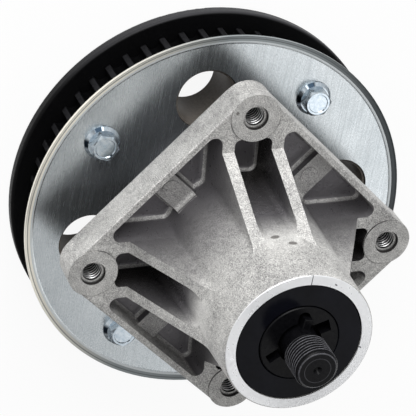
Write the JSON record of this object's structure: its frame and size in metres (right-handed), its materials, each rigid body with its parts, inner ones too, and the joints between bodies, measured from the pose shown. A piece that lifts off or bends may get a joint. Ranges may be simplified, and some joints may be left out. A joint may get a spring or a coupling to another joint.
{
  "type": "mower deck spindle",
  "caption": "Ribbed cast housing that carries a ball-bearing blade shaft, driven by a toothed belt pulley with a plated guide plate",
  "frame": {"origin": "on the shaft axis, in the plane of the four faced bosses that seat on the mower deck", "axes": "+Z runs along the shaft from the pulley towards the blade; X and Y run along the square sides of the flange"},
  "size_m": [0.1548, 0.1548, 0.1415],
  "materials": {
    "cast_aluminium": "matte",
    "bearing_steel": "polished",
    "pressed_steel": "satin",
    "plain_steel": "satin",
    "blackened_steel": "satin",
    "seal_rubber": "matte",
    "cap_plastic": "satin",
    "black_coated_casting": "satin",
    "zinc_plated_steel": "satin"
  },
  "bodies": {
    "housing": {"spindle_housing": "cast_aluminium", "nose_bearing_outer_race": "bearing_steel", "nose_bearing_seals": "seal_rubber", "tail_bearing_outer_race": "bearing_steel", "tail_bearing_seals": "seal_rubber", "nose_dust_cap": "cap_plastic", "bearing_retaining_ring": "blackened_steel"},
    "rotor": {"spindle_shaft": "blackened_steel", "nose_bearing_inner_race": "bearing_steel", "tail_bearing_inner_race": "bearing_steel", "bearing_spacer_tube": "plain_steel", "pulley_spacer": "plain_steel", "tail_shield": "pressed_steel", "toothed_pulley": "black_coated_casting", "pulley_key": "plain_steel", "belt_guide_plate": "zinc_plated_steel", "plate_flange_screws": "zinc_plated_steel", "shaft_washer": "zinc_plated_steel", "shaft_flange_nut": "zinc_plated_steel"},
    "nose_balls": {"nose_bearing_balls": "bearing_steel", "nose_bearing_cage": "pressed_steel"},
    "tail_balls": {"tail_bearing_balls": "bearing_steel", "tail_bearing_cage": "pressed_steel"}
  },
  "joints": [
    {"name": "shaft_spin", "type": "hinge", "parent": "housing", "child": "rotor", "pos_m": [0, 0, 0], "axis": [0, 0, 1], "continuous": true},
    {"name": "nose_ball_orbit", "type": "hinge", "parent": "housing", "child": "nose_balls", "pos_m": [0, 0, 0.0465], "axis": [0, 0, 1], "continuous": true},
    {"name": "tail_ball_orbit", "type": "hinge", "parent": "housing", "child": "tail_balls", "pos_m": [0, 0, -0.017], "axis": [0, 0, 1], "continuous": true}
  ],
  "couplings": [
    {"joint": "nose_ball_orbit", "follows": "shaft_spin", "ratio": 0.3925},
    {"joint": "tail_ball_orbit", "follows": "shaft_spin", "ratio": 0.3925}
  ]
}
